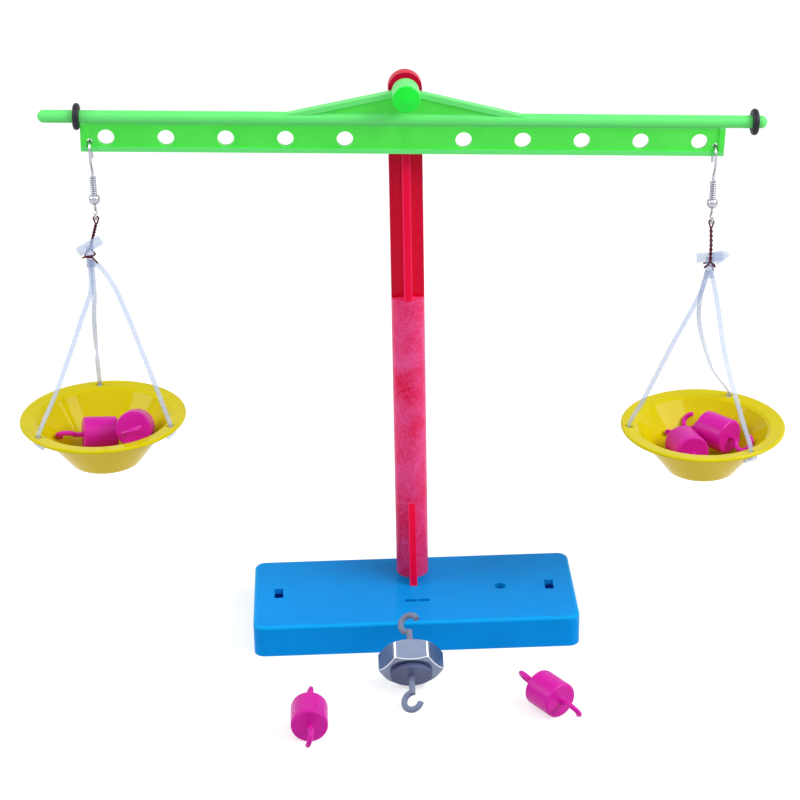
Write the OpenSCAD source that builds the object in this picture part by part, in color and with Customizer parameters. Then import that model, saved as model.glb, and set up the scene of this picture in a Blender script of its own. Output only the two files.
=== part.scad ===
// Lever balance from a school science kit: a plastic stand, a pierced beam on one axle, and two bowls
// on wire hooks and soft hangers, with hooked weights. Millimetres, +Z up, +X to the right.
// The origin is the middle of the base's footprint, on the table.

/* [Base] */
// Width of the base
base_w = 88; // [80:1:120]
// Depth of the base, front to back
base_d = 36; // [34:1:60]
// Height of the base
base_h = 9; // [8:0.5:14]
// Radius of the corners in plan
base_corner_r = 3; // [2:0.5:5]
// Radius of the rounded top edge
base_edge_r = 0.8; // [0.4:0.1:1.2]
// Wall of the moulded shell, which is open underneath
base_wall = 1.6; // [1.2:0.1:2.2]
// Distance from the base's side to the middle of each slot
slot_inset = 6.8; // [5:0.2:12]
// Width of each slot
slot_w = 2.4; // [1.6:0.1:3]
// Length of each slot, front to back
slot_d = 4.9; // [3:0.1:8]
// Diameter of the pin hole
pin_hole_d = 3; // [2:0.1:4]
// Distance of the pin hole to the right of the middle
pin_hole_x = 23.7; // [14:0.1:28]
// Distance of the two dash slits in front of the middle
dash_y = 6.3; // [4:0.1:8]
// Distance of the two dash slits to the right of the middle
dash_x = 0.6; // [0:0.1:2]
// Length of each dash slit
dash_w = 3.1; // [2:0.1:4]
// Width of each dash slit
dash_d = 1.2; // [0.8:0.05:2]
// Bar left between the two dash slits
dash_bar = 0.5; // [0.4:0.1:2]

/* [Post] */
// Diameter of the post
post_d = 8.8; // [7:0.2:11]
// Distance from the base's back edge to the post's axis
post_inset = 7.4; // [7:0.1:12]
// Height of the round part above the base
plain_h = 83; // [40:1:100]
// Height of the beam's axle above the table
pivot_z = 150.2; // [140:0.2:190]
// Thickness of the rib down the open upper part
rib_t = 2.2; // [1.4:0.1:3]
// Thickness of the wings beside that rib
wing_t = 2; // [1.2:0.1:3]
// Thickness of the fin at the post's foot
fin_t = 2; // [1.2:0.1:3]
// Height of the fin
fin_h = 23.7; // [10:0.1:40]
// Reach of the fin in front of the post
fin_reach = 4.7; // [2:0.1:6]
// Diameter of the bearing head
head_d = 8.6; // [7.6:0.1:12]
// Length of the bearing head along the axle
head_len = 3.1; // [2.6:0.1:6]
// How far the head stands in front of the post
head_proud = 0.4; // [0:0.1:0.6]
// Diameter of the spigot that plugs into the base
spigot_d = 6; // [4:0.1:6.5]
// Length of that spigot
spigot_len = 6; // [3:0.1:7]

/* [Beam] */
// How far the beam tips down to the right, in degrees
beam_tip = 2.2; // [-4:0.1:4]
// How far the frame goes on past the middle of its last holes
frame_end = 6.35; // [5.6:0.05:9]
// How far the round rod stands out at each end of the frame
rod_end = 10.65; // [9:0.05:16]
// Diameter of the rod
rod_d = 3.3; // [2.8:0.1:4]
// Distance from the axle down to the rod
rod_drop = 7.2; // [6.6:0.1:10]
// Clear gap between the rod and the post
rod_gap = 0.95; // [0.6:0.05:2]
// Thickness of the web
web_t = 1.6; // [1:0.1:2]
// Distance from the rod's axis to the frame's bottom edge
frame_h = 8.8; // [8.4:0.1:12]
// Thickness of the lip along the bottom and up the gusset
lip_t = 1.3; // [0.8:0.05:1.4]
// Depth of the lip and the end ribs, front to back
lip_d = 2.5; // [2:0.1:3]
// Thickness of the rib at each end of the frame
end_rib = 1.4; // [1:0.1:2]
// Diameter of the holes for hanging weights
hole_d = 4.2; // [3:0.1:4.4]
// Pitch of those holes, counted from the axle
hole_pitch = 15; // [12:0.5:15.5]
// Number of holes on each side
hole_count = 5; // [4:1:6]
// Distance from the rod's axis to the holes
hole_drop = 5.2; // [4.6:0.1:5.3]
// Diameter of the hole for the wire hook
hook_hole_d = 1.4; // [1.2:0.05:1.8]
// Distance from the end rib to the middle of that hole
hook_inset = 0.85; // [0.8:0.05:2]
// Distance from the rod's axis to that hole
hook_drop = 6.2; // [5.5:0.1:6.6]
// Half width of the gusset where it meets the rod
gusset_half = 35.5; // [24:0.5:40]
// Height of the gusset at the boss, from the rod's axis
gusset_rise = 7.6; // [6:0.1:8.4]
// Diameter of the round boss on the axle
boss_d = 7; // [6:0.1:8]
// Reach of the boss in front of the web
boss_len = 5.9; // [3:0.1:9]
// Diameter of the collar between the web and the bearing head
collar_d = 5.4; // [5.2:0.1:7]
// Diameter of the axle
axle_d = 4.6; // [3:0.1:5]
// How far the axle's end shows behind the head
axle_end = 0.8; // [0.3:0.1:2]

/* [Rubber rings] */
// Thickness of the rubber
ring_t = 1.7; // [1.2:0.05:2]
// Place of the left ring, out from the frame's end
left_ring_out = 0; // [0:0.1:6]
// Place of the right ring, out from the frame's end
right_ring_out = 6.5; // [0:0.1:6.5]

/* [Wire hooks] */
// Diameter of the hook wire
hook_wire_d = 0.7; // [0.5:0.05:0.8]
// Radius of the arch that goes through the beam
arch_r = 2.4; // [2.3:0.05:3.5]
// Length of the tail behind the beam
tail_len = 3; // [1:0.1:6]
// Distance from the arch's top to the middle of the eye
eye_drop = 19.7; // [19:0.1:26]
// Radius of the eye, to the middle of the wire
eye_r = 1.2; // [1.1:0.05:1.8]
// Diameter of the bead
bead_d = 3; // [2:0.1:4]
// Distance from the eye up to the bead
bead_lift = 1; // [0.8:0.1:2]
// Diameter of the coil's wire
coil_wire_d = 0.4; // [0.3:0.05:0.5]
// Turns of the coil
coil_turns = 5; // [3:1:6]
// Pitch of the coil
coil_pitch = 0.9; // [0.85:0.01:1.1]

/* [Tie wires] */
// Diameter of the tie wire
tie_wire_d = 0.4; // [0.3:0.05:0.45]
// Distance from the left eye down to the hanger's neck
left_tie_len = 11.5; // [10:0.1:20]
// Distance from the right eye down to the hanger's neck
right_tie_len = 13.7; // [10:0.1:20]
// Turns of the twisted pair
tie_turns = 2; // [1:1:3]
// Radius of the twist, to the middle of each strand
tie_twist_r = 0.5; // [0.46:0.02:0.6]

/* [Hangers] */
// Height from the bowl's rim to the hanger's neck
hanger_h = 45.2; // [40:0.1:60]
// How far the left bowl hangs to the left of its hook
left_sway = 2.2; // [-3:0.1:3]
// How far the right bowl hangs to the right of its hook
right_sway = 0; // [-3:0.1:3]
// Width of the tab at the top
tab_w = 7; // [5:0.1:10]
// Height of that tab
tab_h = 2.5; // [2:0.1:3.2]
// Thickness of the moulding at the tab and the neck
neck_t = 0.9; // [0.6:0.1:1.1]
// Width of the neck
neck_w = 2; // [1.6:0.1:2.4]
// Tilt of the left tab
left_tab_tilt = 28; // [-30:1:30]
// Tilt of the right tab
right_tab_tilt = 4; // [-30:1:30]
// Width of each strap
strap_w = 1.25; // [0.9:0.05:1.3]
// Thickness of each strap
strap_t = 0.5; // [0.4:0.05:0.7]
// Diameter of the toggle bar under the rim
toggle_d = 1.2; // [0.8:0.1:1.6]
// Length of the toggle bar
toggle_len = 4.2; // [3:0.1:6]
// Slack of a strap between the brim and the toggle bar
toggle_slack = 0.8; // [0.1:0.1:1.2]

/* [Bowls] */
// Radius of the bowl's rim
rim_r = 22; // [21:0.1:28]
// Width of the flat brim
brim_w = 4.2; // [4:0.1:6]
// Drop of the brim towards the middle
brim_drop = 0.45; // [0.2:0.05:1]
// Depth inside, from the rim to the floor
bowl_depth = 12.2; // [11:0.1:16]
// Radius of the floor inside
floor_r = 8.7; // [8.2:0.1:11]
// Wall of the bowl
bowl_wall = 1; // [0.8:0.1:1.4]
// Diameter of the three strap holes
strap_hole_d = 2; // [1.8:0.1:2.4]
// Direction of the left bowl's first hole
left_hole_turn = 97; // [90:1:104]
// Direction of the right bowl's first hole
right_hole_turn = 60; // [54:1:66]

/* [Hooked weights] */
// Diameter of a weight
weight_d = 9.5; // [8:0.1:9.6]
// Length of a weight, without its hooks
weight_len = 9; // [7:0.1:9.2]
// Radius of its rounded edges
weight_edge_r = 0.6; // [0.3:0.1:1]
// Diameter of the hook's rod
hook_rod_d = 1.3; // [0.9:0.1:1.4]
// Radius of the hook's ring, to the middle of its rod
hook_ring_r = 2.2; // [1.8:0.1:2.3]
// Length of the shank under the ring
hook_shank = 2.4; // [1.6:0.1:2.6]
// Sweep of the open ring
hook_sweep = 250; // [180:5:260]

/* [Places on the table] */
// Distance of the left weight to the left of the middle
left_spot_x = 29.2; // [20:0.1:60]
// Distance of the left weight in front of the base
left_spot_y = 37.4; // [30:0.1:60]
// Distance of the right weight to the right of the middle
right_spot_x = 32.7; // [20:0.1:60]
// Distance of the right weight in front of the base
right_spot_y = 30.7; // [30:0.1:60]
// Distance of the nut weight to the left of the middle
nut_spot_x = 2.5; // [0:0.1:6]
// Distance of the nut weight in front of the base
nut_spot_y = 18.2; // [16:0.1:30]

/* [Nut weight] */
// Width of the nut across its flats
nut_flats = 15; // [14:0.5:19]
// Height of the nut
nut_h = 6; // [5:0.1:10]
// Bore of the nut
nut_bore = 8.6; // [7:0.1:9]
// Diameter of the core's flange
flange_d = 10.9; // [9.5:0.1:12]
// Thickness of that flange
flange_t = 1.2; // [1:0.1:2.4]
// Diameter of the rod of the core's hooks
core_rod_d = 1.6; // [1.2:0.1:1.8]
// Radius of the rings of the core's hooks
core_ring_r = 2.4; // [2:0.1:2.5]
// Length of the shank under each ring
core_shank = 4.6; // [3:0.1:6]
// Turn of the core in the nut
core_turn = 25; // [0:1:30]

/* [Fits] */
// Clearance round the axle in the head
axle_gap = 0.05; // [0.02:0.01:0.1]
// Clearance round the spigot, the bead's wire and the nut's core
plug_gap = 0.05; // [0.02:0.01:0.1]
// Clearance between the rod and a rubber ring
ring_gap = 0.05; // [0.02:0.01:0.1]
// Clearance between linked wires
link_gap = 0.1; // [0.08:0.01:0.2]
// End play of the beam in front of the head
end_play = 0.3; // [0.2:0.05:0.5]
// Clearance under what lies loose or hangs
rest_gap = 0.2; // [0.1:0.05:0.4]

/* [Hidden] */
$fn = 48;

LEFT = -1;
RIGHT = 1;
FRONT = 270;
CUT = 1;

// Places along the stand
post_y = base_d / 2 - post_inset;
post_r = post_d / 2;
head_front = post_y - post_r - head_proud;
head_back = head_front + head_len;

// Places on the beam
rod_r = rod_d / 2;
beam_y = post_y - post_r - rod_gap - rod_r;
rod_z = pivot_z - rod_drop;
frame_half = hole_count * hole_pitch + frame_end;
frame_len = 2 * frame_half;
beam_len = frame_len + 2 * rod_end;
hook_x = frame_half - end_rib - hook_inset;
boss_r = boss_d / 2;

// The arch lies on the hook hole's floor where it leaves the web
arch_inner_r = arch_r - hook_wire_d / 2;
arch_dip = arch_inner_r - sqrt(arch_inner_r ^ 2 - (web_t / 2) ^ 2);
arch_lift = link_gap + arch_dip + (hook_wire_d - hook_hole_d) / 2;
function hook_at(side) =
    let (down = rod_drop + hook_drop)
    [
        side * hook_x * cos(beam_tip) - down * sin(beam_tip),
        beam_y,
        pivot_z - side * hook_x * sin(beam_tip) - down * cos(beam_tip) + arch_lift
    ];

// Drops of what hangs, measured from the arch's top
leg_len = 1.8;
leg_bend = 4.6;
hook_leg = arch_r + leg_len;
stem_top = hook_leg + leg_bend;
bead_drop = eye_drop - eye_r - hook_wire_d / 2 - bead_lift - bead_d / 2;
coil_r = hook_wire_d / 2 + link_gap + coil_wire_d / 2;
coil_top = bead_drop - bead_d / 2 - rest_gap - coil_wire_d / 2 - coil_turns * coil_pitch;

// The bowl's outline
rim_inner_r = rim_r - brim_w;
wall_slope = (rim_inner_r - floor_r) / (bowl_depth - brim_drop);
wall_across = bowl_wall * sqrt(1 + wall_slope ^ 2);
hole_circle_r = rim_r - brim_w / 2;

function tie_len(side) = side == LEFT ? left_tie_len : right_tie_len;
function sway(side) = side == LEFT ? -left_sway : right_sway;
function neck_at(side) = hook_at(side) + [sway(side), 0, -eye_drop - tie_len(side)];
function rim_at(side) = neck_at(side) - [0, 0, hanger_h];
function floor_at(side) = rim_at(side) - [0, 0, bowl_depth];
function first_hole(side) = side == LEFT ? left_hole_turn : right_hole_turn;

BLUE = [0.0, 0.50, 0.88];
RED = [0.82, 0.06, 0.24];
GREEN = [0.30, 0.85, 0.30];
BLACK = [0.09, 0.09, 0.12];
SILVER = [0.78, 0.79, 0.80];
COPPER = [0.42, 0.14, 0.14];
WHITE = [0.90, 0.93, 0.97];
YELLOW = [0.92, 0.84, 0.05];
PINK = [0.90, 0.12, 0.62];
GREY = [0.44, 0.44, 0.54];
ZINC = [0.70, 0.71, 0.73];

// Sweeps of an outline along a path
function unit(v) = v / norm(v);
function across(v, t) = unit(v - (v * t) * t);
function tangents(path) = [
    for (i = [0 : len(path) - 1])
        unit(path[min(i + 1, len(path) - 1)] - path[max(i - 1, 0)])
];
function start_side(t) = abs(t.x) < 0.8 ? across([1, 0, 0], t) : across([0, 1, 0], t);
function carried_sides(t) = [
    for (
        i = 0, side = start_side(t[0]);
        i < len(t);
        i = i + 1, side = across(side, t[min(i, len(t) - 1)])
    ) side
];
function turned_sides(t, from, to) = [
    for (i = [0 : len(t) - 1])
        let (share = i / (len(t) - 1))
        across((1 - share) * from + share * to, t[i])
];
function circle_outline(d, sides) = [
    for (i = [0 : sides - 1]) d / 2 * [cos(360 * i / sides), sin(360 * i / sides)]
];
function strap_outline(w, t) = [[w, -t] / 2, [w, t] / 2, [-w, t] / 2, [-w, -t] / 2];

module sweep(path, sides, outline) {
    t = tangents(path);
    n = len(outline);
    last = (len(path) - 1) * n;
    points = [
        for (i = [0 : len(path) - 1]) for (o = outline)
            path[i] + o.x * sides[i] + o.y * cross(t[i], sides[i])
    ];
    skin = [
        for (i = [0 : len(path) - 2]) for (j = [0 : n - 1])
            let (a = i * n + j, b = i * n + (j + 1) % n)
            each [[a, a + n, b + n], [a, b + n, b]]
    ];
    ends = [
        for (j = [1 : n - 2])
            each [[0, j, j + 1], [last, last + j + 1, last + j]]
    ];
    polyhedron(points, concat(skin, ends));
}

module wire(path, d, sides = 8)
    sweep(path, carried_sides(tangents(path)), circle_outline(d, sides));

// A path's least gap to itself, between points that are a stretch or more apart
function least_gap(path, stretch, d) = min([
    for (i = [0 : len(path) - 1 - stretch]) for (j = [i + stretch : len(path) - 1])
        norm(path[i] - path[j])
]) - d;

// A smooth run of points through hand-chosen ones
function blend(a, b, c, d, u) =
    0.5 * (2 * b + (c - a) * u + (2 * a - 5 * b + 4 * c - d) * u ^ 2 + (3 * b - a - 3 * c + d) * u ^ 3);
function smooth(points, steps) = [
    for (i = [0 : len(points) - 2]) for (k = [0 : steps - 1])
        blend(
            points[max(i - 1, 0)], points[i], points[i + 1],
            points[min(i + 2, len(points) - 1)], k / steps
        ),
    points[len(points) - 1]
];

function arc(centre, r, from, to, steps) = [
    for (k = [0 : steps])
        let (a = from + (to - from) * k / steps)
        centre + r * [cos(a), sin(a)]
];

// Base: one moulded shell, open underneath, with a socket for the post
module corner_post()
    rotate_extrude($fn = 32)
        polygon(concat(
            [[0, 0], [base_corner_r, 0]],
            arc([base_corner_r - base_edge_r, base_h - base_edge_r], base_edge_r, 0, 90, 4),
            [[0, base_h]]
        ));

module at_corners(w, d, r)
    for (x = [-1, 1], y = [-1, 1])
        translate([x * (w / 2 - r), y * (d / 2 - r), 0])
            children();

module round_block(w, d, h, r) {
    cube_at(w - 2 * r, d, h);
    cube_at(w, d - 2 * r, h);
    at_corners(w, d, r)
        cylinder(r = r, h = h);
}

module cube_at(w, d, h)
    translate([-w / 2, -d / 2, 0])
        cube([w, d, h]);

module base() color(BLUE) {
    inner_r = max(base_corner_r - base_wall, 0.4);
    plate_z = base_h - base_wall;
    socket_d = spigot_d + 2 * plug_gap;
    difference() {
        union() {
            difference() {
                hull()
                    at_corners(base_w, base_d, base_corner_r)
                        corner_post();
                translate([0, 0, -CUT])
                    round_block(base_w - 2 * base_wall, base_d - 2 * base_wall, plate_z + CUT, inner_r);
            }
            translate([0, post_y, base_h - spigot_len - base_wall])
                cylinder(d = socket_d + 2 * base_wall, h = spigot_len + base_wall / 2);
        }
        translate([0, post_y, base_h - spigot_len - rest_gap])
            cylinder(d = socket_d, h = spigot_len + rest_gap + CUT);
        for (side = [LEFT, RIGHT])
            translate([side * (base_w / 2 - slot_inset), 0, plate_z - CUT])
                cube_at(slot_w, slot_d, base_wall + 2 * CUT);
        translate([pin_hole_x, 0, plate_z - CUT])
            cylinder(d = pin_hole_d, h = base_wall + 2 * CUT);
        for (side = [LEFT, RIGHT])
            translate([dash_x + side * (dash_w + dash_bar) / 2, -dash_y, plate_z - CUT])
                cube_at(dash_w, dash_d, base_wall + 2 * CUT);
    }
}

// Post: a round column that opens into a ribbed section and ends in a bearing head
module along_y(y)
    translate([0, y, 0])
        rotate([-90, 0, 0])
            children();

module post() color(RED) {
    plain_top = base_h + plain_h;
    difference() {
        union() {
            translate([0, post_y, base_h])
                cylinder(d = post_d, h = plain_h);
            translate([0, post_y, base_h - spigot_len])
                cylinder(d = spigot_d, h = spigot_len + CUT);
            foot_fin();
            open_column(plain_top - CUT, pivot_z);
            translate([0, 0, pivot_z])
                along_y(head_front)
                    cylinder(d = head_d, h = head_len);
        }
        translate([0, 0, pivot_z])
            along_y(head_front - CUT)
                cylinder(d = axle_d + 2 * axle_gap, h = head_len + 2 * CUT);
        behind_head();
    }
}

module foot_fin()
    translate([-fin_t / 2, 0, 0])
        rotate([90, 0, 90])
            linear_extrude(fin_t)
                polygon([
                    [post_y, base_h],
                    [post_y - post_r - fin_reach, base_h],
                    [post_y - post_r, base_h + fin_h],
                    [post_y, base_h + fin_h]
                ]);

// Ribs across a round outline, from one height to another
module open_column(from, to)
    translate([0, post_y, from])
        intersection() {
            cylinder(d = post_d, h = to - from);
            union() {
                cube_at(rib_t, 2 * post_d, to - from);
                cube_at(2 * post_d, wing_t, to - from);
            }
        }

// The column stops short of the axle behind the head, and the bore is left open there
module behind_head()
    translate([0, (head_back + post_y + post_d) / 2, pivot_z - head_d / 2])
        cube_at(2 * post_d, post_y + post_d - head_back, head_d);

// Beam: one moulding of rod, pierced web, lip, gusset, boss and axle, tipped about that axle
module tipped()
    translate([0, 0, pivot_z])
        rotate([0, beam_tip, 0])
            translate([0, 0, -pivot_z])
                children();

module rod() {
    tip = arc([0, 0], rod_r, 0, 75, 5);
    half = [for (p = tip) [p.x, beam_len / 2 - rod_r + p.y]];
    translate([0, beam_y, rod_z])
        rotate([0, 90, 0])
            rotate_extrude()
                polygon(concat(
                    [[0, -beam_len / 2]],
                    [for (i = [len(half) - 1 : -1 : 0]) [half[i].x, -half[i].y]],
                    half,
                    [[0, beam_len / 2]]
                ));
}

// A flat outline in the beam's plane, with its origin on the axle
module in_beam_plane(t)
    translate([0, beam_y + t / 2, pivot_z])
        rotate([90, 0, 0])
            linear_extrude(t)
                children();

module frame_web()
    in_beam_plane(web_t)
        translate([-frame_half, -rod_drop - frame_h])
            square([frame_len, frame_h]);

module frame_edges()
    in_beam_plane(lip_d) {
        translate([-frame_half, -rod_drop - frame_h])
            square([frame_len, lip_t]);
        for (x = [-frame_half, frame_half - end_rib])
            translate([x, -rod_drop - frame_h])
                square([end_rib, frame_h]);
    }

module gusset() {
    corner = [gusset_half, -rod_drop];
    shoulder = [boss_r / 2, gusset_rise - rod_drop];
    edge = shoulder - corner;
    inward = lip_t * unit([edge.y, -edge.x]);
    in_beam_plane(web_t)
        polygon([
            corner, shoulder, [-shoulder.x, shoulder.y], [-corner.x, corner.y]
        ]);
    in_beam_plane(lip_d)
        for (side = [LEFT, RIGHT])
            polygon([
                for (p = [corner, shoulder, shoulder - inward, corner - inward]) [side * p.x, p.y]
            ]);
}

module boss() {
    dome = 0.5;
    edge = 0.5;
    front = beam_y - web_t / 2 - boss_len;
    translate([0, 0, pivot_z])
        along_y(front)
            rotate_extrude()
                polygon(concat(
                    [[0, -dome], [boss_r - 2 * edge, 0]],
                    arc([boss_r - edge, edge], edge, -60, 0, 3),
                    [[boss_r, beam_y - front], [0, beam_y - front]]
                ));
    collar_len = head_front - end_play - beam_y;
    axle_len = head_back + axle_end - beam_y;
    translate([0, 0, pivot_z])
        along_y(beam_y)
            rotate_extrude()
                polygon([
                    [0, 0], [collar_d / 2, 0], [collar_d / 2, collar_len],
                    [axle_d / 2, collar_len], [axle_d / 2, axle_len - axle_end / 2],
                    [axle_d / 2 - axle_end / 2, axle_len], [0, axle_len]
                ]);
}

module beam() color(GREEN)
    tipped()
        difference() {
            union() {
                rod();
                frame_web();
                frame_edges();
                gusset();
                boss();
            }
            for (side = [LEFT, RIGHT]) {
                for (k = [1 : hole_count])
                    translate([side * k * hole_pitch, 0, rod_z - hole_drop])
                        along_y(beam_y - lip_d)
                            cylinder(d = hole_d, h = 2 * lip_d);
                translate([side * hook_x, 0, rod_z - hook_drop])
                    along_y(beam_y - lip_d)
                        cylinder(d = hook_hole_d, h = 2 * lip_d);
            }
        }

// Rubber rings that slide along the rod's ends to level the beam
module balance_ring(side, out) color(BLACK)
    tipped()
        translate([side * (frame_half + ring_gap + ring_t / 2 + out), beam_y, rod_z])
            rotate([0, 90, 0])
                rotate_extrude()
                    translate([rod_r + ring_gap + ring_t / 2, 0])
                        circle(d = ring_t, $fn = 24);

module left_balance_ring() balance_ring(LEFT, left_ring_out);
module right_balance_ring() balance_ring(RIGHT, right_ring_out);

// Wire hooks: an arch through the beam, a stem with a coil and a bead, and an eye
module at_hook(side)
    translate(hook_at(side))
        children();

tail_flare = 0.3;
ear_path = concat(
    [[0, arch_r + tail_flare, -arch_r - tail_len], [0, arch_r, -arch_r - tail_len / 3]],
    [for (p = arc([0, -arch_r], arch_r, 0, 180, 10)) [0, p.x, p.y]],
    [
        for (k = [0 : 5])
            [0, -arch_r * (1 + cos(36 * k)) / 2, -hook_leg - (stem_top - hook_leg) * k / 5]
    ],
    [[0, 0, -eye_drop + eye_r + (hook_wire_d + bead_lift) / 2]],
    [for (p = arc([0, -eye_drop], eye_r, 60, -230, 12)) [0, p.x, p.y]]
);

module ear_wire(side) color(SILVER)
    at_hook(side)
        wire(ear_path, hook_wire_d);

module left_ear_wire() ear_wire(LEFT);
module right_ear_wire() ear_wire(RIGHT);

coil_steps = 8 * coil_turns;
coil_turn_points = [
    for (k = [0 : coil_steps])
        [coil_r * cos(45 * k), coil_r * sin(45 * k), -coil_top - coil_pitch * k / 8]
];
coil_path = concat(
    [coil_turn_points[0] - [0, coil_wire_d, 0]],
    coil_turn_points,
    [coil_turn_points[coil_steps] + [0, coil_wire_d, 0]]
);
echo(hook_coil_gap = least_gap(coil_turn_points, 6, coil_wire_d));

module hook_coil(side) color(SILVER)
    at_hook(side)
        wire(coil_path, coil_wire_d, 6);

module left_hook_coil() hook_coil(LEFT);
module right_hook_coil() hook_coil(RIGHT);

module hook_bead(side) color(SILVER)
    at_hook(side)
        translate([0, 0, -bead_drop])
            difference() {
                sphere(d = bead_d);
                translate([0, 0, -bead_d])
                    cylinder(d = hook_wire_d + 2 * plug_gap, h = 2 * bead_d);
            }

module left_hook_bead() hook_bead(LEFT);
module right_hook_bead() hook_bead(RIGHT);

// Tie wires: a loop through the eye, a twisted pair behind the tab, and two ends round the neck
tie_loop_r = hook_wire_d / 2 + tie_wire_d / 2 + link_gap;
tie_back = neck_t / 2 + link_gap + tie_wire_d / 2 + tie_twist_r + link_gap;
tie_neck_x = neck_w / 2 + link_gap + tie_wire_d;
tie_neck_y = neck_t / 2 + link_gap + tie_wire_d;
tie_collar = 0.6;
tie_twist_top = eye_r + tie_loop_r + tie_collar;
tie_tail = 1.6;
tie_lead = 0.5;
tie_layer = 0.9;
tie_step = 0.3;

function tie_pair(side, strand, u) =
    let (turn = 360 * tie_turns * u, lead = min(u / tie_lead, 1))
    [
        sway(side) * u + strand * tie_twist_r * cos(turn),
        tie_back * lead * lead * (3 - 2 * lead) + strand * tie_twist_r * sin(turn),
        -tie_twist_top - u * (tie_len(side) - tie_twist_top - tie_tail)
    ];
function tie_end(side, strand) =
    let (
        neck = [sway(side), 0, -tie_len(side)],
        layer = strand == RIGHT ? tie_layer : 0,
        step = strand * tie_step
    )
    [
        neck + [strand * tie_neck_x, tie_neck_y, 0],
        neck + [strand * tie_neck_x, -tie_neck_y * 0.3, step],
        neck + [strand * tie_neck_x * 0.6, -tie_neck_y - layer, step],
        neck + [-strand * tie_neck_x * 0.5, -tie_neck_y - layer - tie_step, step],
        neck + [-strand * tie_neck_x * 1.5, -tie_neck_y - layer - 2 * tie_step, 3 * (step - tie_step)]
    ];
function reversed(list) = [for (i = [len(list) - 1 : -1 : 0]) list[i]];
function tie_strand(side, strand) = concat(
    [for (k = [0 : 8 * tie_turns]) tie_pair(side, strand, k / (8 * tie_turns))],
    tie_end(side, strand)
);
function tie_path(side) = concat(
    reversed(tie_strand(side, LEFT)),
    [for (p = arc([0, -eye_r], tie_loop_r, 180, 0, 6)) [p.x, 0, p.y]],
    tie_strand(side, RIGHT)
);
echo(tie_wire_gap = [for (side = [LEFT, RIGHT]) least_gap(tie_path(side), 6, tie_wire_d)]);

module tie_wire(side) color(COPPER)
    at_hook(side)
        translate([0, 0, -eye_drop])
            wire(tie_path(side), tie_wire_d, 6);

module left_tie_wire() tie_wire(LEFT);
module right_tie_wire() tie_wire(RIGHT);

// Hangers: one soft moulding of a tab, a neck and three straps that end in toggle bars
function hole_place(side, k) =
    let (turn = first_hole(side) + 120 * k)
    hole_circle_r * [cos(turn), sin(turn)];
function hole_tangent(side, k) =
    let (turn = first_hole(side) + 120 * k)
    [-sin(turn), cos(turn), 0];

// Routes of the straps from the neck, as shares of the way out to the hole and of the way down
left_routes = [
    [[-0.1, 0, 0.02], [-0.1, 0.02, 0.22], [0.3, 0.2, 0.42], [0.7, 0.6, 0.72], [0.95, 0.95, 0.96]],
    [[0.02, 0, 0.02], [0.03, 0.02, 0.2], [0.2, 0.18, 0.36], [0.62, 0.62, 0.72], [0.96, 0.96, 0.96]],
    [[0.02, 0, 0.02], [0.2, 0.1, 0.1], [0.4, 0.3, 0.26], [0.75, 0.7, 0.68], [0.97, 0.97, 0.96]]
];
right_routes = [
    [[-0.05, 0, 0.02], [-0.2, 0.03, 0.2], [-0.1, 0.3, 0.42], [0.4, 0.7, 0.76], [0.95, 0.95, 0.96]],
    [[0.02, 0, 0.02], [0.12, 0.1, 0.18], [0.45, 0.45, 0.48], [0.8, 0.8, 0.82], [0.97, 0.97, 0.96]],
    [[0.04, 0, 0.02], [0.22, 0.05, 0.2], [0.4, 0.4, 0.5], [0.75, 0.78, 0.8], [0.97, 0.97, 0.96]]
];

toggle_z = -hanger_h - brim_drop / 2 - bowl_wall - toggle_slack - toggle_d / 2;

function strap_path(side, k) =
    let (
        hole = hole_place(side, k),
        routes = side == LEFT ? left_routes : right_routes,
        foot = [hole.x, hole.y, -hanger_h]
    )
    smooth(concat(
        [for (p = routes[k]) [p.x * foot.x, p.y * foot.y, p.z * foot.z]],
        [foot, [foot.x, foot.y, toggle_z]]
    ), 3);

module strap(side, k) {
    path = strap_path(side, k);
    sweep(path, turned_sides(tangents(path), [1, 0, 0], hole_tangent(side, k)), strap_outline(strap_w, strap_t));
}

module toggle(side, k) {
    hole = hole_place(side, k);
    translate([hole.x, hole.y, toggle_z])
        rotate([0, 0, first_hole(side) + 120 * k])
            along_y(-toggle_len / 2)
                cylinder(d = toggle_d, h = toggle_len, $fn = 16);
}

// The head stands in one plane, and the right one's tab has a fold in front of it
tab_z = tie_tail + tab_h / 2;
neck_len = 1.5;
fold_sink = 0.2;

module upright(y)
    translate([0, y, 0])
        rotate([90, 0, 0])
            linear_extrude(neck_t)
                children();

module hanger_head(tilt) {
    upright(neck_t / 2) {
        translate([0, tab_z])
            rotate(tilt)
                square([tab_w, tab_h], center = true);
        polygon([
            [-neck_w / 2, tab_z], [-neck_w / 2, -neck_len], [-strap_w, -2 * neck_len],
            [strap_w, -2 * neck_len], [neck_w / 2, -neck_len], [neck_w / 2, tab_z]
        ]);
    }
}

module tab_fold()
    upright(fold_sink - neck_t / 2)
        polygon([
            [-neck_w / 2, tie_tail - fold_sink], [neck_w, tie_tail - fold_sink],
            [0.68 * tab_w, tab_z + 0.2 * tab_h], [0.6 * tab_w, tab_z + 0.65 * tab_h],
            [0, tab_z + 0.35 * tab_h]
        ]);

module hanger(side, tilt) color(WHITE)
    translate(neck_at(side)) {
        hanger_head(tilt);
        if (side == RIGHT)
            tab_fold();
        for (k = [0 : 2]) {
            strap(side, k);
            toggle(side, k);
        }
    }

module left_hanger() hanger(LEFT, left_tab_tilt);
module right_hanger() hanger(RIGHT, right_tab_tilt);

// Bowls: a turned shape with a flat brim and three strap holes
module at_rim(side)
    translate(rim_at(side))
        children();

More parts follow.
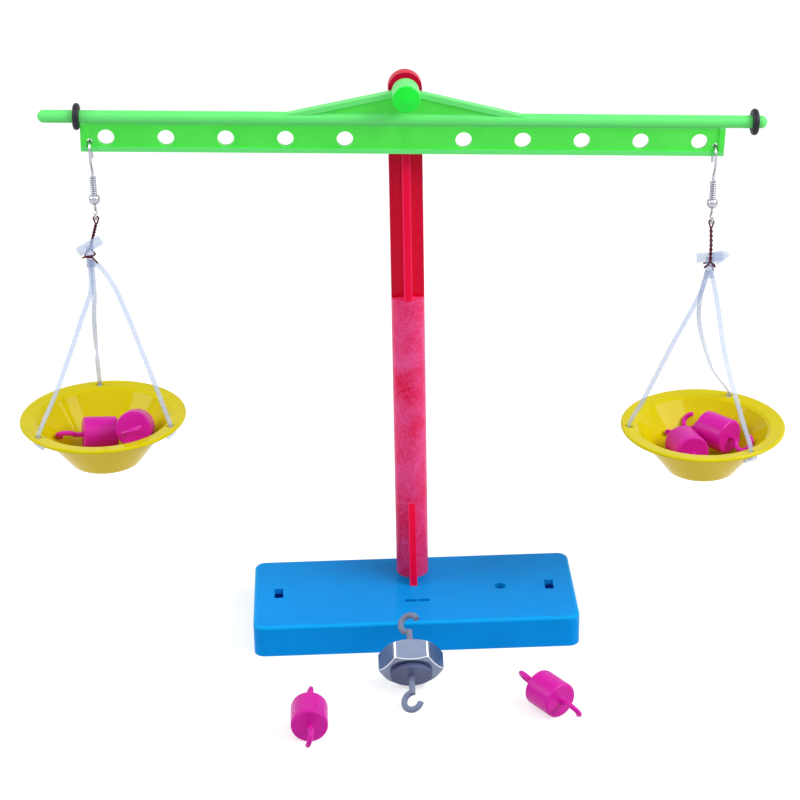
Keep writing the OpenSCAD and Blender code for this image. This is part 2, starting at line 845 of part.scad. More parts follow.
module pan(side) color(YELLOW) {
    edge = 0.5;
    lip = bowl_wall / 2;
    out = wall_across - wall_slope * bowl_wall;
    at_rim(side)
        difference() {
            rotate_extrude($fn = 96)
                polygon(concat(
                    [
                        [0, -bowl_depth - bowl_wall],
                        [floor_r + out - edge, -bowl_depth - bowl_wall],
                        [floor_r + out + wall_slope * edge, -bowl_depth - bowl_wall + edge],
                        [rim_inner_r + out, -brim_drop - bowl_wall],
                        [rim_r - lip, -bowl_wall]
                    ],
                    arc([rim_r - lip, -lip], lip, -60, 90, 5),
                    [
                        [rim_inner_r + edge, -brim_drop],
                        [rim_inner_r - wall_slope * edge, -brim_drop - edge],
                        [floor_r + wall_slope * edge, -bowl_depth + edge],
                        [floor_r - edge, -bowl_depth],
                        [0, -bowl_depth]
                    ]
                ));
            for (k = [0 : 2])
                translate([hole_place(side, k).x, hole_place(side, k).y, -brim_drop - 2 * bowl_wall])
                    cylinder(d = strap_hole_d, h = brim_drop + 3 * bowl_wall);
        }
}

module left_pan() pan(LEFT);
module right_pan() pan(RIGHT);

// Hooked weights: a plain drum with an open hook on each end
module open_hook(rod, ring_r, shank) {
    translate([0, 0, -rod / 2])
        cylinder(d = rod, h = shank + rod * 0.8, $fn = 24);
    translate([0, 0, shank + ring_r])
        rotate([90, 0, 0])
            rotate(-90)
                rotate_extrude(angle = hook_sweep)
                    translate([ring_r, 0])
                        circle(d = rod, $fn = 24);
}

module two_hooks(len, rod, ring_r, shank)
    for (end = [0, 1])
        mirror([0, 0, end])
            translate([0, 0, len / 2])
                open_hook(rod, ring_r, shank);

module hooked_weight() color(PINK) {
    half = weight_len / 2;
    edge = weight_edge_r;
    rotate_extrude()
        polygon(concat(
            [[0, -half]],
            arc([weight_d / 2 - edge, -half + edge], edge, -90, 0, 3),
            arc([weight_d / 2 - edge, half - edge], edge, 0, 90, 3),
            [[0, half]]
        ));
    two_hooks(weight_len, hook_rod_d, hook_ring_r, hook_shank);
}

// How a loose piece lies: its middle, the direction and rise of its axis, and its roll about that axis
module lie(place, turn, rise, roll)
    translate(place)
        rotate([0, 90 - rise, turn])
            rotate([0, 0, roll])
                children();

module in_bowl(side, place, turn, rise, roll)
    translate(floor_at(side) + [0, 0, rest_gap])
        lie(place, turn, rise, roll)
            hooked_weight();

module left_weight_lying()
    in_bowl(LEFT, [-1.4, 1.9, weight_d / 2 + 0.6], 191, 6, 128);
module left_weight_leaning()
    in_bowl(LEFT, [8.6, -3.3, weight_d / 2 + 4.7], FRONT - 2, 21, 111);
module right_weight_left()
    in_bowl(RIGHT, [-4.3, -1.5, weight_d / 2 + 0.8], FRONT + 12, 4, 63);
module right_weight_right()
    in_bowl(RIGHT, [4.9, 4.7, weight_d / 2 + 2.1], FRONT + 42, -1, -45);

module on_table(x, y, turn, roll)
    lie([x, -base_d / 2 - y, weight_d / 2], turn, 0, roll)
        hooked_weight();

module table_weight_left() on_table(-left_spot_x, left_spot_y, FRONT, 165);
module table_weight_right() on_table(right_spot_x, right_spot_y, FRONT + 34, 215);

// Nut weight: a steel nut on a moulded core with a flange and two hooks
// It rests on the front edge of one flat and on the end of its front hook
nut_corner_r = nut_flats / 2 / cos(30);
core_len = nut_h + 2 * flange_t;
hook_reach = core_len / 2 + core_shank + 2 * core_ring_r - nut_h / 2;
nut_lean = acos(core_rod_d / 2 / norm([nut_flats / 2, hook_reach])) - atan2(hook_reach, nut_flats / 2);
nut_z = nut_flats / 2 * cos(nut_lean) + nut_h / 2 * sin(nut_lean);

module at_nut()
    lie([-nut_spot_x, -base_d / 2 - nut_spot_y, nut_z], FRONT, -nut_lean, -90)
        children();

module hex_nut() color(ZINC)
    at_nut() {
        chamfer_r = nut_flats / 2 * 0.96;
        reach = nut_corner_r + CUT;
        fall = (reach - chamfer_r) * tan(30);
        difference() {
            intersection() {
                cylinder(r = nut_corner_r, h = nut_h, center = true, $fn = 6);
                rotate_extrude()
                    polygon([
                        [0, -nut_h / 2], [chamfer_r, -nut_h / 2], [reach, -nut_h / 2 + fall],
                        [reach, nut_h / 2 - fall], [chamfer_r, nut_h / 2], [0, nut_h / 2]
                    ]);
            }
            cylinder(d = nut_bore, h = 2 * nut_h, center = true);
        }
    }

module nut_weight_core() color(GREY)
    at_nut() {
        translate([0, 0, -core_len / 2])
            cylinder(d = nut_bore - 2 * plug_gap, h = core_len - flange_t / 2);
        translate([0, 0, nut_h / 2])
            cylinder(d = flange_d, h = flange_t);
        rotate(core_turn)
            two_hooks(core_len, core_rod_d, core_ring_r, core_shank);
    }

base();
post();
beam();
left_balance_ring();
right_balance_ring();
left_ear_wire();
right_ear_wire();
left_hook_coil();
right_hook_coil();
left_hook_bead();
right_hook_bead();
left_tie_wire();
right_tie_wire();
left_hanger();
right_hanger();
left_pan();
right_pan();
left_weight_lying();
left_weight_leaning();
right_weight_left();
right_weight_right();
table_weight_left();
table_weight_right();
nut_weight_core();
hex_nut();
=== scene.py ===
import math

import bpy
from mathutils import Matrix, Vector


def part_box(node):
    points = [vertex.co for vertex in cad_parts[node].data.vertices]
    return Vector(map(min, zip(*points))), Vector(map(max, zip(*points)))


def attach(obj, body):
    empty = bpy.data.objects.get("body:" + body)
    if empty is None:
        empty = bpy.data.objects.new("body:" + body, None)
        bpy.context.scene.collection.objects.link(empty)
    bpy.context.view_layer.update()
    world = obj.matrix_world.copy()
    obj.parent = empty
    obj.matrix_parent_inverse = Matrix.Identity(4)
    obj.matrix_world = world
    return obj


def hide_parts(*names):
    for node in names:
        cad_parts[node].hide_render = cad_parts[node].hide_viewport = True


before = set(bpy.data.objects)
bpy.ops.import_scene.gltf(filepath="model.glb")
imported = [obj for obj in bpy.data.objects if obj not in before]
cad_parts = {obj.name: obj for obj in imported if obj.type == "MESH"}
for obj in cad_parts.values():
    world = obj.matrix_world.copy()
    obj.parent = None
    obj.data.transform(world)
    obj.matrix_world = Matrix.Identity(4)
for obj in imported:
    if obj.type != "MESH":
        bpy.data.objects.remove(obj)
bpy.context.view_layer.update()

# Studio: the balance stands on a wide white table under large soft boxes, as for a catalogue picture.
# The camera stands in front of it, above the beam, and looks down at the base with a long lens.
white = (1, 1, 1, 1)
table_size = 8.0
table_drop = 0.0001
table_grey = (0.66, 0.66, 0.66, 1)
table_roughness = 0.95
table_lift = 0.54
table_far_lift = 0.85
table_near = 0.4
table_far = 2.0
# Inside the base's footprint the table glows a dark navy: painted shade for the dark inside of the shell,
# seen through its slots.
under_base_painted_shade = (0.0, 0.015, 0.2, 1)
shade_inset = 0.001


def mask_step(tree, operation, first, second=0.0):
    step = tree.nodes.new("ShaderNodeMath")
    step.operation = operation
    for socket, value in zip(step.inputs, (first, second)):
        if isinstance(value, bpy.types.NodeSocket):
            tree.links.new(value, socket)
        else:
            socket.default_value = value
    return step.outputs[0]


def mask_radius(tree, first, second):
    squares = [mask_step(tree, "POWER", reach, 2.0) for reach in (first, second)]
    return mask_step(tree, "SQRT", mask_step(tree, "ADD", *squares))


def mask_fade(tree, reach, start, end, low=0.0, high=1.0, bend="LINEAR"):
    fade = tree.nodes.new("ShaderNodeMapRange")
    fade.interpolation_type = bend
    for socket, value in (("From Min", start), ("From Max", end), ("To Min", low), ("To Max", high)):
        fade.inputs[socket].default_value = value
    tree.links.new(reach, fade.inputs["Value"])
    return fade.outputs["Result"]


def mask_blend(tree, mask, first, second):
    blend = tree.nodes.new("ShaderNodeMix")
    blend.data_type = "RGBA"
    tree.links.new(mask, blend.inputs["Factor"])
    for name, shade in (("A", first), ("B", second)):
        if isinstance(shade, bpy.types.NodeSocket):
            tree.links.new(shade, blend.inputs[name])
        else:
            blend.inputs[name].default_value = shade
    return blend.outputs["Result"]


def axes_at(tree, place=(0, 0, 0), turn=(0, 0, 0)):
    spot = tree.nodes.new("ShaderNodeTexCoord")
    level = tree.nodes.new("ShaderNodeMapping")
    level.vector_type = "TEXTURE"
    level.inputs["Location"].default_value = place
    level.inputs["Rotation"].default_value = turn
    axes = tree.nodes.new("ShaderNodeSeparateXYZ")
    tree.links.new(spot.outputs["Object"], level.inputs["Vector"])
    tree.links.new(level.outputs["Vector"], axes.inputs[0])
    return [axes.outputs[axis] for axis in "XYZ"]


def seen_mask(tree):
    rays = tree.nodes.new("ShaderNodeLightPath")
    mask = rays.outputs["Is Camera Ray"]
    for ray in ("Is Glossy Ray", "Is Transmission Ray"):
        mask = mask_step(tree, "MAXIMUM", mask, rays.outputs[ray])
    return mask


bpy.ops.object.select_all(action="DESELECT")
bpy.ops.mesh.primitive_plane_add(size=table_size, location=(0, 0, -table_drop))
table_top = bpy.context.object
table_top.name = "table_top"

table_white = bpy.data.materials.new("table_white")
table_white.use_nodes = True
table_tree = table_white.node_tree
table_shader = table_tree.nodes["Principled BSDF"]
table_shader.inputs["Base Color"].default_value = table_grey
table_shader.inputs["Roughness"].default_value = table_roughness
table_shader.inputs["Specular IOR Level"].default_value = 0.0
table_x, table_y = axes_at(table_tree)[:2]
# Painted shade: the table under the base is tinted dark navy.
beyond_base = []
for reach, half in zip((table_x, table_y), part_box("base")[1]):
    away = mask_step(table_tree, "ABSOLUTE", reach)
    beyond_base.append(mask_step(table_tree, "GREATER_THAN", away, half - shade_inset))
table_open = mask_step(table_tree, "MAXIMUM", *beyond_base)
table_shade_tint = mask_blend(table_tree, table_open, under_base_painted_shade, white)
table_reach = mask_radius(table_tree, table_x, table_y)
table_fade = mask_fade(table_tree, table_reach, table_near, table_far, table_lift, table_far_lift)
table_glow = mask_step(table_tree, "MULTIPLY", seen_mask(table_tree), table_fade)
table_tree.links.new(table_shade_tint, table_shader.inputs["Emission Color"])
table_tree.links.new(table_glow, table_shader.inputs["Emission Strength"])
table_top.data.materials.append(table_white)

room_tint = (0.95, 0.97, 1.0, 1)
room_level = 0.28
seen_level = 1.0
studio = bpy.data.worlds.new("studio")
studio.use_nodes = True
bpy.context.scene.world = studio
studio_nodes = studio.node_tree.nodes
studio_links = studio.node_tree.links
room_light = studio_nodes["Background"]
room_light.inputs["Color"].default_value = room_tint
room_light.inputs["Strength"].default_value = room_level
seen_white = studio_nodes.new("ShaderNodeBackground")
seen_white.inputs["Color"].default_value = white
seen_white.inputs["Strength"].default_value = seen_level
seen_mix = studio_nodes.new("ShaderNodeMixShader")
studio_links.new(seen_mask(studio.node_tree), seen_mix.inputs["Fac"])
studio_links.new(room_light.outputs[0], seen_mix.inputs[1])
studio_links.new(seen_white.outputs[0], seen_mix.inputs[2])
studio_links.new(seen_mix.outputs[0], studio_nodes["World Output"].inputs["Surface"])

soft_box_target = Vector((0, 0, 0.07))
for name, place, width, height, watts in (
    ("soft_box_left", (-0.85, -0.12, 0.58), 0.50, 0.38, 4.2),
    ("soft_box_right", (0.74, -0.27, 0.69), 0.80, 0.38, 7.6),
    ("soft_box_top", (-0.05, -0.60, 1.25), 1.50, 1.50, 6.0),
):
    lamp = bpy.data.lights.new(name, "AREA")
    lamp.shape = "RECTANGLE"
    lamp.size = width
    lamp.size_y = height
    lamp.energy = watts
    soft_box = bpy.data.objects.new(name, lamp)
    soft_box.location = place
    soft_box.rotation_euler = (soft_box_target - Vector(place)).to_track_quat("-Z", "Y").to_euler()
    bpy.context.scene.collection.objects.link(soft_box)

photo_width = 800
focal_pixels = 2300.9
film_width = 36
nearest_seen = 0.01
camera_place = (-0.02014, -0.54968, 0.32702)
camera_yaw = math.radians(1.795)
camera_pitch = math.radians(25.342)
camera_roll = math.radians(1.08)
lens = bpy.data.cameras.new("photo_camera")
lens.sensor_width = film_width
lens.lens = film_width * focal_pixels / photo_width
lens.clip_start = nearest_seen
camera = bpy.data.objects.new("photo_camera", lens)
ahead = Vector((
    math.sin(camera_yaw) * math.cos(camera_pitch),
    math.cos(camera_yaw) * math.cos(camera_pitch),
    -math.sin(camera_pitch),
))
level_right = ahead.cross(Vector((0, 0, 1))).normalized()
level_down = ahead.cross(level_right)
right = math.cos(camera_roll) * level_right + math.sin(camera_roll) * level_down
down = math.cos(camera_roll) * level_down - math.sin(camera_roll) * level_right
camera_turn = Matrix((right, -down, -ahead)).transposed()
camera.matrix_world = Matrix.Translation(camera_place) @ camera_turn.to_4x4()
bpy.context.scene.collection.objects.link(camera)
bpy.context.scene.camera = camera
bpy.context.scene.view_settings.view_transform = "Standard"

# Base: a blue injection-moulded shell, glossy on top, open underneath, pierced by slots and a pin hole.
# The post's spigot plugs into its socket, and it stands on the edge of its walls.
base_half = (0.044, 0.018)
base_top = 0.009
base_corner_r = 0.003
# The top edge gets a painted highlight: a lighter blue band this far in from the edge.
highlight_inner = 0.0012
highlight_outer = 0.0003


def paint(red, green, blue):
    shares = [channel / 255 for channel in (red, green, blue)]
    return [s / 12.92 if s <= 0.04045 else ((s + 0.055) / 1.055) ** 2.4 for s in shares] + [1.0]


def place_noise(tree, place, scale, detail, distortion=0.0):
    noise = tree.nodes.new("ShaderNodeTexNoise")
    noise.inputs["Detail"].default_value = detail
    noise.inputs["Distortion"].default_value = distortion
    if isinstance(scale, bpy.types.NodeSocket):
        tree.links.new(scale, noise.inputs["Scale"])
    else:
        noise.inputs["Scale"].default_value = scale
    tree.links.new(place.outputs["Object"], noise.inputs["Vector"])
    return noise.outputs["Fac"]


smudge_scale = 140
smudge_from = 0.35
smudge_to = 0.75
smudge_most = 0.12
moulded_skin = bpy.data.node_groups.new("moulded_skin", "ShaderNodeTree")
for socket in ("Grain Scale", "Flow Scale", "Gloss"):
    moulded_skin.interface.new_socket(socket, in_out="INPUT", socket_type="NodeSocketFloat")
for socket in ("Grain", "Flow", "Roughness"):
    moulded_skin.interface.new_socket(socket, in_out="OUTPUT", socket_type="NodeSocketFloat")
skin_in = moulded_skin.nodes.new("NodeGroupInput")
skin_out = moulded_skin.nodes.new("NodeGroupOutput")
skin_place = moulded_skin.nodes.new("ShaderNodeTexCoord")
skin_grain = place_noise(moulded_skin, skin_place, skin_in.outputs["Grain Scale"], detail=3)
skin_flow = place_noise(moulded_skin, skin_place, skin_in.outputs["Flow Scale"], detail=2, distortion=1.4)
skin_smudge = place_noise(moulded_skin, skin_place, smudge_scale, detail=5)
skin_marks = mask_fade(moulded_skin, skin_smudge, smudge_from, smudge_to, 0.0, smudge_most)
skin_rough = mask_step(moulded_skin, "ADD", skin_in.outputs["Gloss"], skin_marks)
moulded_skin.links.new(skin_grain, skin_out.inputs["Grain"])
moulded_skin.links.new(skin_flow, skin_out.inputs["Flow"])
moulded_skin.links.new(skin_rough, skin_out.inputs["Roughness"])


def skinned(name, shades, spread, gloss, scales, bump, depth):
    material = bpy.data.materials.new(name)
    material.use_nodes = True
    tree = material.node_tree
    shader = tree.nodes["Principled BSDF"]
    skin = tree.nodes.new("ShaderNodeGroup")
    skin.node_tree = moulded_skin
    skin.inputs["Grain Scale"].default_value = scales[0]
    skin.inputs["Flow Scale"].default_value = scales[1]
    skin.inputs["Gloss"].default_value = gloss
    ramp = tree.nodes.new("ShaderNodeValToRGB")
    for stop, position, shade in zip(ramp.color_ramp.elements, spread, shades):
        stop.position = position
        stop.color = shade
    relief = tree.nodes.new("ShaderNodeBump")
    relief.inputs["Strength"].default_value = bump
    relief.inputs["Distance"].default_value = depth
    tree.links.new(skin.outputs["Flow"], ramp.inputs["Fac"])
    tree.links.new(ramp.outputs["Color"], shader.inputs["Base Color"])
    tree.links.new(skin.outputs["Roughness"], shader.inputs["Roughness"])
    tree.links.new(skin.outputs["Grain"], relief.inputs["Height"])
    tree.links.new(relief.outputs["Normal"], shader.inputs["Normal"])
    return material


plastic_spread = (0.3, 0.7)
plastic_scales = (2600, 55)
plastic_bump = 0.12
plastic_depth = 0.00006


def moulded_plastic(name, dark, light, gloss, shine, scales=plastic_scales, bump=plastic_bump):
    material = skinned(name, (dark, light), plastic_spread, gloss, scales, bump, plastic_depth)
    material.node_tree.nodes["Principled BSDF"].inputs["Specular IOR Level"].default_value = shine
    return material


def opened(material):
    tree = material.node_tree
    shader = tree.nodes["Principled BSDF"]
    return tree, shader, shader.inputs["Base Color"].links[0].from_socket


def dress(names, material):
    for name in names:
        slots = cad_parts[name].data.materials
        slots.clear()
        slots.append(material)


base_blue = moulded_plastic("base_blue", paint(0, 144, 230), paint(0, 149, 235), gloss=0.11, shine=0.045)
base_highlight_blue = paint(12, 165, 240)
base_tree, base_shader, base_shades = opened(base_blue)
base_x, base_y, base_z = axes_at(base_tree)
past_corner = []
for reach, half in zip((base_x, base_y), base_half):
    away = mask_step(base_tree, "ABSOLUTE", reach)
    past = mask_step(base_tree, "SUBTRACT", away, half - base_corner_r)
    past_corner.append(mask_step(base_tree, "MAXIMUM", past, 0.0))
wall_reach = mask_radius(base_tree, *past_corner)
# Painted highlight: a lighter blue band along the top edge of the walls.
base_highlight_fades = [
    mask_fade(base_tree, reach, full - highlight_inner, full - highlight_outer, bend="SMOOTHSTEP")
    for reach, full in ((wall_reach, base_corner_r), (base_z, base_top))
]
base_highlight_mask = mask_step(base_tree, "MULTIPLY", *base_highlight_fades)
base_colour = mask_blend(base_tree, base_highlight_mask, base_shades, base_highlight_blue)
base_tree.links.new(base_colour, base_shader.inputs["Base Color"])
dress(["base"], base_blue)

# Post: a red moulding, frosted and marbled where it is round; the fin and the upper ribs are painted a
# brighter red as painted light, with painted highlights along the rib's edges.
# Its spigot is pushed into the base, and its head carries the beam's axle.
frost_top = 0.092
head_foot = 0.1459
round_front = 0.0061
wing_front = 0.0094
rib_half = 0.0011
# Width of the painted highlight along each edge of the rib.
rib_highlight_width = 0.0003
frost_red = paint(230, 18, 76)
frost_pink = paint(238, 82, 148)
frost_spread = (0.38, 0.6)
# Painted light: the fin and the upper rib are a brighter red than the wings and the head.
lit_rib_red = paint(248, 0, 62)
rib_edge_highlight_red = paint(250, 44, 100)
post_red = moulded_plastic("post_red", paint(212, 0, 52), paint(220, 2, 58), gloss=0.30, shine=0.12)
post_tree, post_shader, wing_shades = opened(post_red)
post_shader.inputs["Sheen Weight"].default_value = 0.05
post_shader.inputs["Sheen Roughness"].default_value = 0.35
post_shader.inputs["Sheen Tint"].default_value = paint(214, 120, 220)

post_place = post_tree.nodes.new("ShaderNodeTexCoord")
post_marble = 0.0
for share, scale, detail, distortion in ((0.5, 75, 2, 0.8), (0.3, 420, 3, 2.2), (0.2, 2600, 1, 0.0)):
    clouds = place_noise(post_tree, post_place, scale, detail, distortion)
    layer = mask_step(post_tree, "MULTIPLY", clouds, share)
    post_marble = mask_step(post_tree, "ADD", layer, post_marble)
post_frost = post_tree.nodes.new("ShaderNodeValToRGB")
for stop, position, shade in zip(post_frost.color_ramp.elements, frost_spread, (frost_red, frost_pink)):
    stop.position = position
    stop.color = shade
post_tree.links.new(post_marble, post_frost.inputs["Fac"])

post_x, post_y, post_z = axes_at(post_tree)
above_frost = mask_step(post_tree, "GREATER_THAN", post_z, frost_top)
below_head = mask_step(post_tree, "LESS_THAN", post_z, head_foot)
before_round = mask_step(post_tree, "LESS_THAN", post_y, round_front)
before_wings = mask_step(post_tree, "LESS_THAN", post_y, wing_front)
upper_rib = mask_step(post_tree, "MULTIPLY", above_frost, before_wings)
fin_or_rib = mask_step(post_tree, "MAXIMUM", before_round, upper_rib)
on_rib = mask_step(post_tree, "MULTIPLY", fin_or_rib, below_head)
# Painted highlights: a paler red band along each edge of the rib.
rib_side = mask_step(post_tree, "ABSOLUTE", post_x)
past_rib = mask_step(post_tree, "GREATER_THAN", rib_side, rib_half - rib_highlight_width)
within_rib_highlight = mask_step(post_tree, "LESS_THAN", rib_side, rib_half + rib_highlight_width)
rib_highlight_band = mask_step(post_tree, "MULTIPLY", past_rib, within_rib_highlight)
on_rib_edge_highlight = mask_step(post_tree, "MULTIPLY", rib_highlight_band, on_rib)
# Painted light on the fin and rib, and painted highlights on the rib's edges.
post_colour = mask_blend(post_tree, above_frost, post_frost.outputs["Color"], wing_shades)
post_colour = mask_blend(post_tree, on_rib, post_colour, lit_rib_red)
post_colour = mask_blend(post_tree, on_rib_edge_highlight, post_colour, rib_edge_highlight_red)
post_tree.links.new(post_colour, post_shader.inputs["Base Color"])
dress(["post"], post_red)

# Beam: one lime green moulding of rod, pierced web, lip and gusset, with the axle on its back.
# It hangs on that axle in the post's head and tips freely.
axle_place = (0.0, 0.0036, 0.1502)
beam_tip = math.radians(2.2)
rod_drop = 0.0072
rod_half = 0.0017
lip_top = 0.0147
boss_face = 0.0064
gusset_half = 0.0355
gusset_fall = 0.2252
gusset_lip = 0.00135
# The rod, the lip and the gusset's sloping edges are painted a paler, milky green: painted highlights.
beam_highlight_green = paint(104, 236, 120)
boss_green = paint(18, 244, 58)
beam_green = moulded_plastic("beam_green", paint(72, 232, 70), paint(86, 240, 82), gloss=0.28, shine=0.3)
beam_tree, beam_shader, web_shades = opened(beam_green)
beam_x, beam_y, beam_z = axes_at(beam_tree, axle_place, (0, beam_tip, 0))
from_rod = mask_step(beam_tree, "ADD", beam_z, rod_drop)
rod_reach = mask_step(beam_tree, "ABSOLUTE", from_rod)
on_rod = mask_step(beam_tree, "LESS_THAN", rod_reach, rod_half)
above_rod = mask_step(beam_tree, "GREATER_THAN", from_rod, rod_half)
on_lip = mask_step(beam_tree, "LESS_THAN", beam_z, -lip_top)
inward = mask_step(beam_tree, "SUBTRACT", gusset_half, mask_step(beam_tree, "ABSOLUTE", beam_x))
gusset_rise = mask_step(beam_tree, "MULTIPLY", inward, gusset_fall)
slope = mask_step(beam_tree, "SUBTRACT", gusset_rise, gusset_lip)
past_slope = mask_step(beam_tree, "GREATER_THAN", from_rod, slope)
on_slope = mask_step(beam_tree, "MULTIPLY", past_slope, above_rod)
rod_or_lip = mask_step(beam_tree, "MAXIMUM", on_rod, on_lip)
on_beam_highlights = mask_step(beam_tree, "MAXIMUM", rod_or_lip, on_slope)
on_boss = mask_step(beam_tree, "LESS_THAN", beam_y, -boss_face)
# Painted highlights on the rod, the lip and the gusset's slopes.
beam_colour = mask_blend(beam_tree, on_beam_highlights, web_shades, beam_highlight_green)
beam_colour = mask_blend(beam_tree, on_boss, beam_colour, boss_green)
beam_tree.links.new(beam_colour, beam_shader.inputs["Base Color"])
dress(["beam"], beam_green)

# Rubber rings: black moulded O-rings with a satin skin.
# They are stretched over the rod's ends, and are slid along it to level the beam.
rubber_scales = (5200, 300)
rubber_bump = 0.3
rubber_dark = paint(12, 12, 24)
rubber_light = paint(24, 24, 38)
ring_rubber = moulded_plastic(
    "ring_rubber", rubber_dark, rubber_light, gloss=0.42, shine=0.3, scales=rubber_scales, bump=rubber_bump
)
dress(["left_balance_ring", "right_balance_ring"], ring_rubber)

# Wire hooks: ear wires bent from bright plated wire, hooked through the beam's ends.
# A fine coil and a bead sit on the stem, above an eye that is bent from the same wire.
MM = 0.001
hook_places = {"left": (-79.5560, 3.6, 139.7591), "right": (78.5272, 3.6, 133.6860)}
hook_wire_d = 0.7
arch_r = 2.4
arch_steps = 24
tail_len = 3.0
tail_flare = 0.3
hook_leg = 4.2
stem_top = 8.8
stem_steps = 16
bead_lift = 1.0
eye_drop = 19.7
eye_r = 1.2
eye_start = 60
eye_end = -230
eye_steps = 40
coil_wire_d = 0.4
coil_r = 0.65
coil_top = 9.75
coil_len = 4.5
coil_turns = 9
coil_turn_steps = 16


def arc_points(centre, radius, start, end, steps):
    angles = [math.radians(start + (end - start) * k / steps) for k in range(steps + 1)]
    return [(centre[0] + radius * math.cos(a), centre[1] + radius * math.sin(a)) for a in angles]


def only(piece):
    bpy.ops.object.select_all(action="DESELECT")
    piece.select_set(True)
    bpy.context.view_layer.objects.active = piece


def bent_wire(name, route, thickness, origin):
    curve = bpy.data.curves.new(name, "CURVE")
    curve.dimensions = "3D"
    curve.bevel_depth = thickness / 2 * MM
    curve.bevel_resolution = 3
    curve.use_fill_caps = True
    spline = curve.splines.new("POLY")
    spline.points.add(len(route) - 1)
    for point, step in zip(spline.points, route):
        point.co = [(step[i] + origin[i]) * MM for i in range(3)] + [1]
    wire = bpy.data.objects.new(name, curve)
    bpy.context.scene.collection.objects.link(wire)
    only(wire)
    bpy.ops.object.convert(target="MESH")
    bpy.ops.object.shade_smooth()
    return bpy.context.object


metal_dark = 0.86
metal_spread = (0.0, 1.0)
metal_flow_scale = 240
metal_bump = 0.08
metal_depth = 0.00004


def plated_metal(name, colour, gloss, scratch_scale, metallic=1.0):
    dark = [c * metal_dark for c in colour[:3]] + [1]
    scales = (scratch_scale, metal_flow_scale)
    material = skinned(name, (dark, colour), metal_spread, gloss, scales, metal_bump, metal_depth)
    material.node_tree.nodes["Principled BSDF"].inputs["Metallic"].default_value = metallic
    return material


hook_silver = plated_metal("hook_silver", paint(182, 184, 193), gloss=0.08, scratch_scale=2400)
ear_route = [(0, arch_r + tail_flare, -arch_r - tail_len), (0, arch_r, -arch_r - tail_len / 3)]
ear_route += [(0, y, z) for y, z in arc_points((0, -arch_r), arch_r, 0, 180, arch_steps)]
for k in range(stem_steps + 1):
    lean_out = arch_r * (1 + math.cos(math.pi * k / stem_steps)) / 2
    ear_route.append((0, -lean_out, -hook_leg - (stem_top - hook_leg) * k / stem_steps))
ear_route.append((0, 0, -eye_drop + eye_r + (hook_wire_d + bead_lift) / 2))
ear_route += [(0, y, z) for y, z in arc_points((0, -eye_drop), eye_r, eye_start, eye_end, eye_steps)]

coil_steps = coil_turn_steps * coil_turns
coil_route = []
for k in range(coil_steps + 1):
    angle = 2 * math.pi * k / coil_turn_steps
    height = -coil_top - coil_len * k / coil_steps
    coil_route.append((coil_r * math.cos(angle), coil_r * math.sin(angle), height))

for side, hook_place in hook_places.items():
    ear_wire = bent_wire(side + "_bright_hook", ear_route, hook_wire_d, hook_place)
    ear_wire.data.materials.append(hook_silver)
    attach(ear_wire, side + "_hook")
    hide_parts(side + "_ear_wire")
    coil = bent_wire(side + "_fine_coil", coil_route, coil_wire_d, hook_place)
    coil.data.materials.append(hook_silver)
    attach(coil, side + "_hook")
    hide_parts(side + "_hook_coil")
dress(["left_hook_bead", "right_hook_bead"], hook_silver)

# Tie wires: dark enamelled copper wire, looped through the hook's eye and twisted with itself.
# The left twist runs down behind the hanger's tab, and the right one in front of it.
# The wire's two ends are wound round the neck and left sticking out on the other side.
tie_wire_d = 0.44
tie_loop_r = 0.65
tie_loop_steps = 18
tie_twist_r = 0.24
tie_twist_top = 2.45
tie_turns = 4
tie_turn_steps = 20
tie_tail = 1.6
tie_back = 1.0
tie_lead = 0.5
tie_faces = {"left": 1, "right": -1}
tie_lengths = {"left": 11.5, "right": 13.7}
tie_neck_x = 1.27
tie_neck_y = 0.74
tie_lift = 0.3
tie_layer = 0.47
tie_step = 0.3
tie_side_share = 0.3
tie_turn_share = 0.6
tie_cross_share = 0.5
tie_ends = {"left": 1.5, "right": 1.05}
tie_end_steps = 6
sways = {"left": -2.2, "right": 0.0}


def smooth_run(points, steps):
    run = []
    for i in range(len(points) - 1):
        a = Vector(points[max(i - 1, 0)])
        b = Vector(points[i])
        c = Vector(points[i + 1])
        d = Vector(points[min(i + 2, len(points) - 1)])
        for k in range(steps):
            u = k / steps
            rise = (c - a) * u
            bend = (2 * a - 5 * b + 4 * c - d) * u**2
            turn = (3 * b - a - 3 * c + d) * u**3
            run.append(0.5 * (2 * b + rise + bend + turn))
    return run + [Vector(points[-1])]


def tie_strand(side, strand):
    length = tie_lengths[side]
    sway = sways[side]
    face = tie_faces[side]
    steps = tie_turn_steps * tie_turns
    run = []
    for k in range(steps + 1):
        u = k / steps
        angle = 2 * math.pi * tie_turns * u
        lead = min(u / tie_lead, 1)
        run.append((
            sway * u + strand * tie_twist_r * math.cos(angle),
            face * tie_back * lead * lead * (3 - 2 * lead) + strand * tie_twist_r * math.sin(angle),
            -tie_twist_top - u * (length - tie_twist_top - tie_tail),
        ))
    across = strand * tie_neck_x
    outer = -face * (tie_neck_y + (tie_layer if strand > 0 else 0))
    step = strand * tie_step
    level = -length + tie_lift
    ends = [
        run[-1],
        (sway + across, face * tie_neck_y, level),
        (sway + across, -face * tie_neck_y * tie_side_share, level + step),
        (sway + across * tie_turn_share, outer, level + step),
        (sway - across * tie_cross_share, outer - face * tie_step, level + step),
        (sway - across * tie_ends[side], outer - 2 * face * tie_step, level + 3 * (step - tie_step)),
    ]
    return run[:-1] + smooth_run(ends, tie_end_steps)


